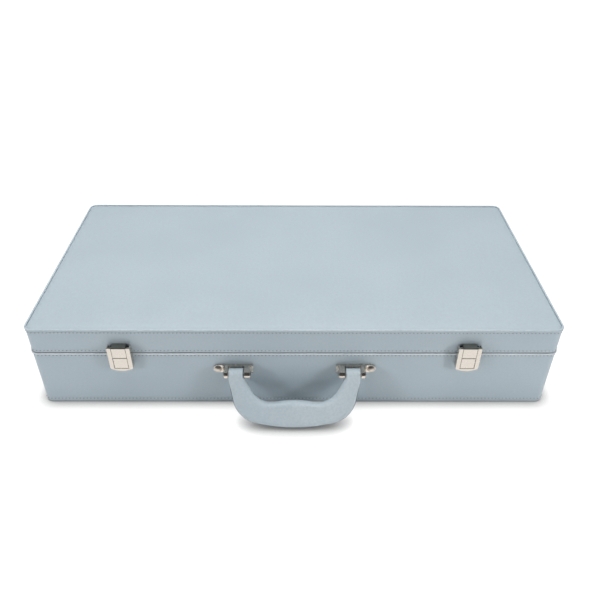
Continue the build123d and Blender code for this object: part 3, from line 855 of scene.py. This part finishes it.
def latch_head(side):
    """The lid's half of a latch: a front panel on a shelf, a head that turns back over the pin,
    and a plate behind, darkened as painted shade in the latch's hollows."""
    low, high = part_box(f"latch_lid_block_{side}")
    middle = (low.x + high.x) / 2
    face, wall, bottom, top = low.y, high.y, low.z, high.z
    panel_back = face + latch_sheet
    plate_face = wall - latch_plate_thickness
    shelf_top = bottom + latch_sheet
    under_head = top - latch_head_height
    panel_top = top - latch_head_radius
    nose = []
    for angle in quarter_turn():
        back = latch_head_radius * (1 - math.cos(angle))
        nose.append((face + back, panel_top + latch_head_radius * math.sin(angle)))
    panel = [(face, bottom), (face, panel_top), (panel_back, panel_top), (panel_back, bottom)]
    shelf = [(panel_back, bottom), (plate_face, bottom), (plate_face, shelf_top), (panel_back, shelf_top)]
    head = [*nose, (wall, top), (wall, under_head), (panel_back, under_head), (panel_back, panel_top)]
    plate = [(plate_face, bottom), (wall, bottom), (wall, under_head), (plate_face, under_head)]
    sheets = {
        "latch_front_panel": ([panel, shelf], latch_panel_half, nickel_finish),
        "latch_head": ([head], latch_panel_half, shaded_nickel_finish),
        # The back plate is darkened as painted shade in the hollow
        "latch_back_plate": ([plate], latch_plate_half, back_plate_shade_finish),
    }
    for kind, (outlines, half, finish) in sheets.items():
        shell = bmesh.new()
        for outline in outlines:
            prism(shell, outline, middle - half, middle + half)
        upright = upright_front_edges(shell, face)
        bmesh.ops.bevel(shell, geom=upright, offset=latch_panel_bevel, segments=2, affect="EDGES")
        name = f"{kind}_{side}"
        piece = new_piece(name, finished_mesh(shell, name, smooth=False), finish, "lid")
        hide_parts(f"latch_lid_block_{side}")


for side in ("left", "right"):
    latch_head(side)


# Camera
def place_camera():
    """Stands the camera where the photograph was taken from."""
    data = bpy.data.cameras.new("photo_camera")
    data.sensor_width = sensor_width
    data.lens = focal_pixels / photo_pixels * sensor_width
    camera = in_scene("photo_camera", data)
    level = Matrix.Rotation(math.radians(90), 4, "X")
    tilt = Matrix.Rotation(math.radians(-camera_tilt_down), 4, "X")
    turn = Matrix.Rotation(math.radians(camera_turn), 4, "Z")
    roll = Matrix.Rotation(math.radians(camera_roll), 4, "Z")
    camera.matrix_world = Matrix.Translation(camera_place) @ turn @ tilt @ level @ roll
    bpy.context.scene.camera = camera


place_camera()


# Studio
def soft_light(name, place, target, size, power):
    """A round lamp that metal does not mirror."""
    data = bpy.data.lights.new(name, "AREA")
    data.shape = "DISK"
    data.size = size
    data.energy = power
    lamp = in_scene(name, data)
    aim = Vector(target) - Vector(place)
    lamp.matrix_world = Matrix.Translation(place) @ aim.to_track_quat("-Z", "Y").to_matrix().to_4x4()
    lamp.visible_glossy = False


def studio_floor():
    """A pale floor that the camera and the metal see as white, with a painted contact shadow close under
    things, and that keeps the case's shadow.
    """
    mesh = bpy.data.meshes.new("studio_floor")
    corners = [(-floor_half, -floor_half, 0), (floor_half, -floor_half, 0)]
    corners += [(floor_half, floor_half, 0), (-floor_half, floor_half, 0)]
    mesh.from_pydata(corners, [], [(0, 1, 2, 3)])
    floor = in_scene("studio_floor", mesh)
    finish = Finish("studio_floor")
    finish.set(Roughness=0.9, Specular_IOR_Level=0.0, Emission_Color=(1, 1, 1, 1))
    rays = finish.add("ShaderNodeLightPath")
    seen = finish.maths("MAXIMUM", rays.outputs["Is Camera Ray"], rays.outputs["Is Glossy Ray"])
    distance = finish.add("ShaderNodeVectorMath", operation="LENGTH")
    finish.join(finish.place, distance.inputs[0])
    glow = finish.map(distance.outputs["Value"], glow_distance, glow_strength)
    # Painted contact shadow: ambient occlusion darkens the glow close under the case and the handle
    near = finish.add("ShaderNodeAmbientOcclusion", samples=8)
    near.inputs["Distance"].default_value = contact_reach
    contact = finish.map(near.outputs["AO"], contact_openness, contact_strength)
    lit = finish.maths("MULTIPLY", glow, contact)
    finish.join(finish.maths("MULTIPLY", seen, lit), finish.shader.inputs["Emission Strength"])
    finish.dress(finish.blend(seen, floor_colour, floor_seen_colour))
    mesh.materials.append(finish.material)


def studio_world():
    """White where the camera looks past the floor, and a dim grey room elsewhere."""
    world = bpy.data.worlds.new("studio")
    world.use_nodes = True
    bpy.context.scene.world = world
    tree = world.node_tree
    room = tree.nodes["Background"]
    room.inputs["Color"].default_value = room_colour
    room.inputs["Strength"].default_value = room_strength
    rays = tree.nodes.new("ShaderNodeLightPath")
    seen = room.outputs[0]
    for ray, strength in (("Is Glossy Ray", mirrored_room), ("Is Camera Ray", 1.0)):
        other = tree.nodes.new("ShaderNodeBackground")
        other.inputs["Strength"].default_value = strength
        mix = tree.nodes.new("ShaderNodeMixShader")
        tree.links.new(rays.outputs[ray], mix.inputs[0])
        tree.links.new(seen, mix.inputs[1])
        tree.links.new(other.outputs[0], mix.inputs[2])
        seen = mix.outputs[0]
    tree.links.new(seen, tree.nodes["World Output"].inputs["Surface"])


studio_floor()
studio_world()
for name, lamp in lamps.items():
    soft_light(name, **lamp)
bpy.context.scene.view_settings.view_transform = "Standard"
